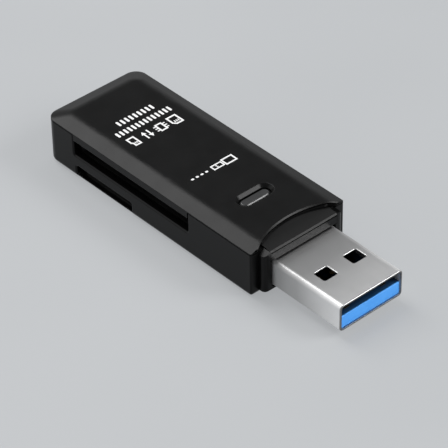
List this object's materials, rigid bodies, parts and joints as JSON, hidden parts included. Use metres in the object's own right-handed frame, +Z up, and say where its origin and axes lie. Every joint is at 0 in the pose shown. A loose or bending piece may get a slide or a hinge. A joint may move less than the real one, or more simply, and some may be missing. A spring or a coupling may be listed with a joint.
{
  "type": "usb memory card reader",
  "caption": "Flat black stick reader with a steel plug at one end, a long and a short card slot in one side, a sloping border round its lid and a small lens near the plug",
  "frame": {"origin": "middle of the whole length and width, on the flat base", "axes": "+X out of the plug's mouth, -Y out of the card slots, +Z up from the base to the lid"},
  "size_m": [0.06, 0.018, 0.0086],
  "materials": {
    "housing_black": "fine satin moulded black",
    "lens_grey": "smoky glossy lens",
    "plug_steel": "bright plated sheet",
    "tongue_blue": "satin blue",
    "contact_gold": "gold plated strip",
    "board_green": "solder mask",
    "socket_black": "satin moulded",
    "socket_steel": "folded sheet",
    "chip_black": "moulded package",
    "crystal_can": "drawn can",
    "capacitor_tan": "ceramic with plated ends",
    "resistor_black": "coated with plated ends",
    "led_white": "clear dome on a white base",
    "print_white": "plain printed marks on the lid"
  },
  "bodies": {
    "root": {"top_cover": "housing_black", "bottom_case": "housing_black", "light_pipe": "lens_grey", "usb_shell": "plug_steel", "usb_insulator": "tongue_blue", "circuit_board": "board_green", "indicator_led": "led_white", "controller_chip": "chip_black", "crystal": "crystal_can", "voltage_regulator": "chip_black", "card_socket_frame": "socket_black", "card_socket_shield": "socket_steel", "card_detect_spring": "contact_gold", "micro_socket_frame": "socket_black", "micro_socket_shield": "socket_steel", "micro_detect_spring": "contact_gold", "usb_contact_1": "contact_gold", "usb_contact_2": "contact_gold", "usb_contact_3": "contact_gold", "usb_contact_4": "contact_gold", "usb_fast_contact_1": "contact_gold", "usb_fast_contact_2": "contact_gold", "usb_fast_contact_3": "contact_gold", "usb_fast_contact_4": "contact_gold", "usb_fast_contact_5": "contact_gold", "card_contact_1": "contact_gold", "card_contact_2": "contact_gold", "card_contact_3": "contact_gold", "card_contact_4": "contact_gold", "card_contact_5": "contact_gold", "card_contact_6": "contact_gold", "card_contact_7": "contact_gold", "card_contact_8": "contact_gold", "card_contact_9": "contact_gold", "micro_contact_1": "contact_gold", "micro_contact_2": "contact_gold", "micro_contact_3": "contact_gold", "micro_contact_4": "contact_gold", "micro_contact_5": "contact_gold", "micro_contact_6": "contact_gold", "micro_contact_7": "contact_gold", "micro_contact_8": "contact_gold", "capacitor_1": "capacitor_tan", "capacitor_2": "capacitor_tan", "capacitor_3": "capacitor_tan", "capacitor_4": "capacitor_tan", "capacitor_5": "capacitor_tan", "capacitor_6": "capacitor_tan", "resistor_1": "resistor_black", "resistor_2": "resistor_black", "resistor_3": "resistor_black", "resistor_4": "resistor_black"}
  },
  "joints": []
}
